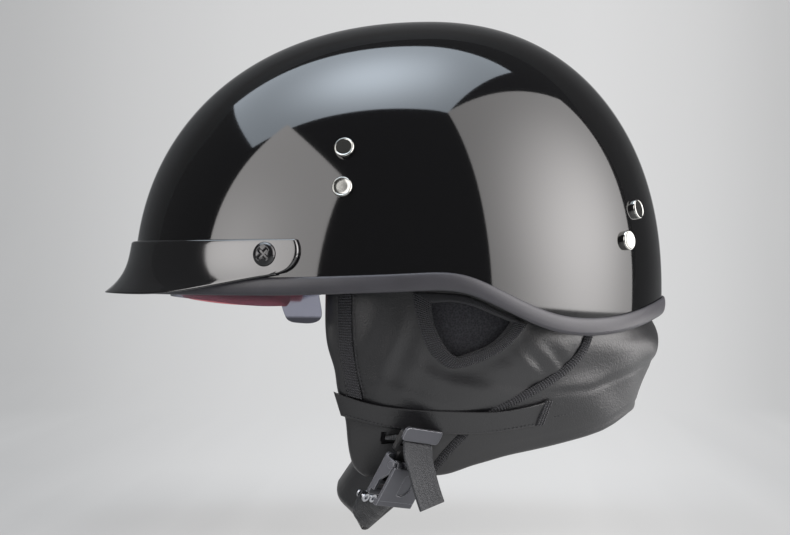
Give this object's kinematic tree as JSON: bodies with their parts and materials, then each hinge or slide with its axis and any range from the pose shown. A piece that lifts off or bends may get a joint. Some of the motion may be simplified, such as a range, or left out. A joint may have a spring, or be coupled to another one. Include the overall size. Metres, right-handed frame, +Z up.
{
  "type": "half shell motorcycle helmet",
  "caption": "Half shell riding helmet with edge trim, short peak, drop-down sun lens, ear flaps, neck curtain and chin strap with a sliding buckle.",
  "frame": {"origin": "middle of the shell's rim plane, where the wearer's head goes in", "axes": "+Z up through the crown, -Y towards the peak at the front, +X towards the wearer's left"},
  "size_m": [0.231, 0.2904, 0.2565],
  "materials": {
    "shell": "high gloss",
    "rubber_trim": "matt",
    "gloss_black": "high gloss",
    "dark_screw": "gloss",
    "zinc_steel": "plated",
    "chrome": "polished",
    "lens": "smoke tint",
    "black_plastic": "moulded",
    "foam": "beaded foam",
    "lining": "brushed knit",
    "red_lining": "knit",
    "leatherette": "soft grain",
    "knit_binding": "ribbed",
    "mesh_cloth": "open mesh",
    "webbing": "woven",
    "dark_metal": "satin"
  },
  "bodies": {
    "helmet": {"shell": "shell", "edge_trim": "rubber_trim", "peak": "gloss_black", "peak_screws": "dark_screw", "peak_nuts": "zinc_steel", "front_rivets": "chrome", "rear_rivets": "chrome", "rivet_washers": "zinc_steel", "lens_bases": "black_plastic", "lens_screws": "dark_screw", "impact_liner": "foam", "crown_pad": "lining", "brow_pad": "lining", "temple_pad_left": "lining", "temple_pad_right": "lining", "nape_pad": "lining", "brow_roll": "red_lining", "ear_flap_left": "leatherette", "ear_flap_right": "leatherette", "ear_binding_left": "knit_binding", "ear_binding_right": "knit_binding", "ear_mesh_left": "mesh_cloth", "ear_mesh_right": "mesh_cloth", "flap_band_left": "webbing", "flap_band_right": "webbing", "front_piping_left": "leatherette", "front_piping_right": "leatherette", "seam_rib_left": "knit_binding", "seam_rib_right": "knit_binding", "neck_curtain": "leatherette", "curtain_strip": "black_plastic", "curtain_studs": "black_plastic", "strap_left": "webbing", "strap_right": "webbing", "rear_straps": "webbing", "chin_pad": "leatherette", "tongue": "dark_metal", "slider_plate": "dark_metal"},
    "lens": {"sun_lens": "lens"},
    "buckle": {"buckle_floor": "dark_metal", "lever_pin": "zinc_steel", "lever_spring": "zinc_steel", "end_rivets": "chrome"},
    "lever": {"buckle_lever": "dark_metal"}
  },
  "joints": [
    {"name": "lens_swing", "type": "hinge", "parent": "helmet", "child": "lens", "pos_m": [0, 0.004, 0.019], "axis": [1, 0, 0], "range_deg": [0, 38]},
    {"name": "buckle_slide", "type": "slide", "parent": "helmet", "child": "buckle", "axis": [-0.2191, -0.4483, -0.8666], "range_m": [-0.002, 0.007], "deforming": ["strap_right", "chin_pad"]},
    {"name": "lever_lift", "type": "hinge", "parent": "buckle", "child": "lever", "pos_m": [0.08822, 0.00187, -0.08353], "axis": [0.7385, -0.6567, 0.1529], "range_deg": [0, 40], "stiffness_Nm_per_rad": 0.02, "springref_deg": -20.05}
  ]
}
